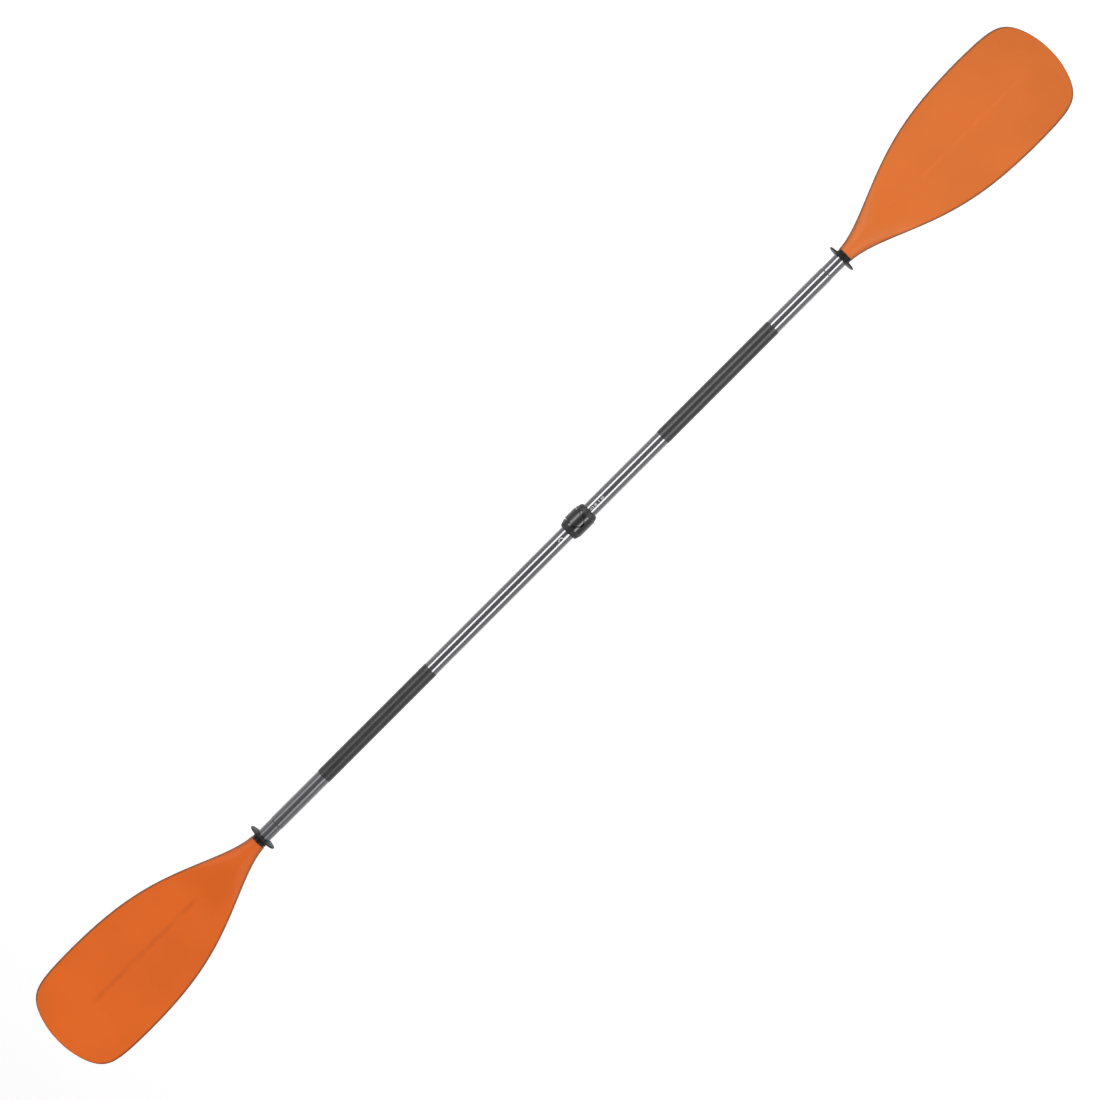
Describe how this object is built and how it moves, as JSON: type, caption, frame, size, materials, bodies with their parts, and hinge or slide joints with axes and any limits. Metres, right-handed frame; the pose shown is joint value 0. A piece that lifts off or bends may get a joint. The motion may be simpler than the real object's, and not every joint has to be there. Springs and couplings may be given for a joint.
{
  "type": "kayak paddle",
  "caption": "Take-apart kayak paddle: round metal shaft with sleeve grips and drip rings, wide rounded plastic blades and a cam-lever clamp collar at mid length.",
  "frame": {"origin": "on the shaft's axis at mid length with the halves pushed fully together, which is the bare stretch of shaft beside the clamp collar", "axes": "+X along the shaft from the socket half (left) to the inner-tube half (right), +Z out of the blades' hollow faces, +Y across the blades on the side that the lever wraps over"},
  "size_m": [2.1996, 0.1806, 0.05],
  "materials": {
    "blade_plastic": "moulded polypropylene, satin orange",
    "shaft_aluminium": "drawn tube, gunmetal anodised",
    "inner_aluminium": "drawn tube, gunmetal anodised, rubbed by sliding",
    "grip_sleeve": "matte fine-grained sleeve",
    "ring_rubber": "soft black rubber",
    "clamp_plastic": "moulded black nylon, satin gloss",
    "cap_plastic": "moulded black plastic",
    "clamp_steel": "stainless steel",
    "plug_foam": "closed-cell foam"
  },
  "bodies": {
    "left_half": {"left_blade": "blade_plastic", "left_shaft_tube": "shaft_aluminium", "left_end_plug": "plug_foam", "shaft_bulkhead": "plug_foam", "left_grip": "grip_sleeve", "clamp_collar": "clamp_plastic", "lever_barrel_pin": "clamp_steel", "tension_bolt": "clamp_steel", "bolt_washer": "clamp_steel", "cam_plate": "clamp_steel"},
    "lever": {"clamp_lever": "clamp_plastic"},
    "nut": {"adjuster_nut": "clamp_steel"},
    "left_ring": {"left_drip_ring": "ring_rubber"},
    "inner": {"inner_tube": "inner_aluminium", "inner_tube_end_cap": "cap_plastic"},
    "right_half": {"right_shaft_tube": "shaft_aluminium", "right_blade": "blade_plastic", "right_end_plug": "plug_foam", "right_grip": "grip_sleeve"},
    "right_ring": {"right_drip_ring": "ring_rubber"}
  },
  "joints": [
    {"name": "lever_swing", "type": "hinge", "parent": "left_half", "child": "lever", "pos_m": [0.0638, 0.0138, -0.0158], "axis": [-1, 0, 0], "range_deg": [0, 150]},
    {"name": "nut_turn", "type": "hinge", "parent": "left_half", "child": "nut", "pos_m": [0.0638, -0.0116, -0.0158], "axis": [0, 1, 0], "continuous": true},
    {"name": "left_ring_slide", "type": "slide", "parent": "left_half", "child": "left_ring", "axis": [1, 0, 0], "range_m": [-0.002, 0.024]},
    {"name": "length_slide", "type": "slide", "parent": "left_half", "child": "inner", "axis": [1, 0, 0], "range_m": [0, 0.18]},
    {"name": "feather_turn", "type": "hinge", "parent": "inner", "child": "right_half", "pos_m": [0.2, 0, 0], "axis": [1, 0, 0], "continuous": true},
    {"name": "right_ring_slide", "type": "slide", "parent": "right_half", "child": "right_ring", "axis": [-1, 0, 0], "range_m": [-0.0003, 0.0255]}
  ]
}
